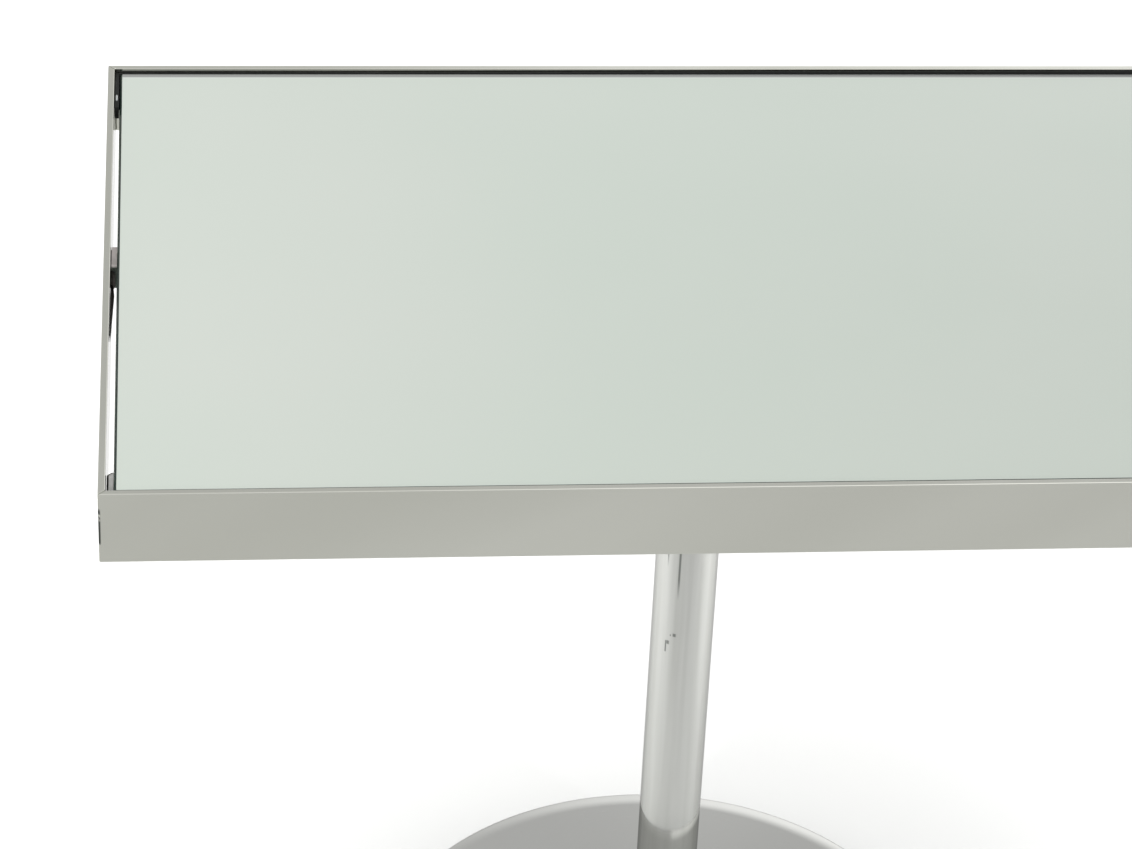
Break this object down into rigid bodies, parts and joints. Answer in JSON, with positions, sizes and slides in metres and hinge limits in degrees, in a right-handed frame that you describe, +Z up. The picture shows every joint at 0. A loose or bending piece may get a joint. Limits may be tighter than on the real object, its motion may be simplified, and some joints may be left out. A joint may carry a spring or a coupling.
{
  "type": "manicure table",
  "caption": "Rectangular pedestal table for manicures: opal glass lying loose in a polished flat-bar frame, on a round chrome column and a sloped disc base with screw glides.",
  "frame": {"origin": "on the floor, at the middle of the table's footprint", "axes": "+X along the table's length, +Y to the back edge, +Z up"},
  "size_m": [0.9, 0.6, 0.75],
  "materials": {
    "opal_glass": "opaque pale mint-white glass, glossy",
    "polished_steel": "mirror-polished stainless steel",
    "chrome": "bright chrome plate with fine scratches",
    "mill_steel": "satin steel",
    "zinc_plate": "bright zinc plate",
    "black_iron": "black-painted casting",
    "clear_silicone": "translucent silicone",
    "black_nylon": "matte black nylon",
    "black_rubber": "black rubber strip"
  },
  "bodies": {
    "frame": {"front_apron": "polished_steel", "back_apron": "polished_steel", "left_apron": "polished_steel", "right_apron": "polished_steel", "centre_beam": "mill_steel", "front_rail": "mill_steel", "back_rail": "mill_steel", "spider_plate": "mill_steel", "top_flange": "chrome", "column_tube": "chrome", "base_cover": "chrome", "base_collar": "chrome", "tie_rod": "zinc_plate", "tie_rod_nut": "zinc_plate", "tie_rod_washer": "zinc_plate", "base_casting": "black_iron", "beam_pad_left": "clear_silicone", "beam_pad_right": "clear_silicone", "back_gasket": "black_rubber", "corner_bracket_front_left": "mill_steel", "corner_pad_front_left": "clear_silicone", "corner_bracket_front_right": "mill_steel", "corner_pad_front_right": "clear_silicone", "corner_bracket_back_left": "mill_steel", "corner_pad_back_left": "clear_silicone", "corner_bracket_back_right": "mill_steel", "corner_pad_back_right": "clear_silicone", "flange_bolt_1": "zinc_plate", "flange_nut_1": "zinc_plate", "flange_bolt_2": "zinc_plate", "flange_nut_2": "zinc_plate", "flange_bolt_3": "zinc_plate", "flange_nut_3": "zinc_plate", "flange_bolt_4": "zinc_plate", "flange_nut_4": "zinc_plate"},
    "glass": {"glass_top": "opal_glass"},
    "pad_front_left": {"glide_pad_front_left": "black_nylon"},
    "stud_front_left": {"glide_stud_front_left": "zinc_plate"},
    "pad_front_right": {"glide_pad_front_right": "black_nylon"},
    "stud_front_right": {"glide_stud_front_right": "zinc_plate"},
    "pad_back_left": {"glide_pad_back_left": "black_nylon"},
    "stud_back_left": {"glide_stud_back_left": "zinc_plate"},
    "pad_back_right": {"glide_pad_back_right": "black_nylon"},
    "stud_back_right": {"glide_stud_back_right": "zinc_plate"}
  },
  "joints": [
    {"name": "glass_lift", "type": "slide", "parent": "frame", "child": "glass", "axis": [0, 0, 1], "range_m": [0, 0.12]},
    {"name": "glide_travel_front_left", "type": "slide", "parent": "frame", "child": "pad_front_left", "axis": [0, 0, -1], "range_m": [0, 0.006]},
    {"name": "glide_turn_front_left", "type": "hinge", "parent": "pad_front_left", "child": "stud_front_left", "pos_m": [-0.14142, -0.10742, 0.0103], "axis": [0, 0, -1], "range_deg": [0, 1440]},
    {"name": "glide_travel_front_right", "type": "slide", "parent": "frame", "child": "pad_front_right", "axis": [0, 0, -1], "range_m": [0, 0.006]},
    {"name": "glide_turn_front_right", "type": "hinge", "parent": "pad_front_right", "child": "stud_front_right", "pos_m": [0.14142, -0.10742, 0.0103], "axis": [0, 0, -1], "range_deg": [0, 1440]},
    {"name": "glide_travel_back_left", "type": "slide", "parent": "frame", "child": "pad_back_left", "axis": [0, 0, -1], "range_m": [0, 0.006]},
    {"name": "glide_turn_back_left", "type": "hinge", "parent": "pad_back_left", "child": "stud_back_left", "pos_m": [-0.14142, 0.17542, 0.0103], "axis": [0, 0, -1], "range_deg": [0, 1440]},
    {"name": "glide_travel_back_right", "type": "slide", "parent": "frame", "child": "pad_back_right", "axis": [0, 0, -1], "range_m": [0, 0.006]},
    {"name": "glide_turn_back_right", "type": "hinge", "parent": "pad_back_right", "child": "stud_back_right", "pos_m": [0.14142, 0.17542, 0.0103], "axis": [0, 0, -1], "range_deg": [0, 1440]}
  ],
  "couplings": [
    {"joint": "glide_turn_front_left", "follows": "glide_travel_front_left", "rad_per_m": 4188.7},
    {"joint": "glide_turn_front_right", "follows": "glide_travel_front_right", "rad_per_m": 4188.7},
    {"joint": "glide_turn_back_left", "follows": "glide_travel_back_left", "rad_per_m": 4188.7},
    {"joint": "glide_turn_back_right", "follows": "glide_travel_back_right", "rad_per_m": 4188.7}
  ]
}
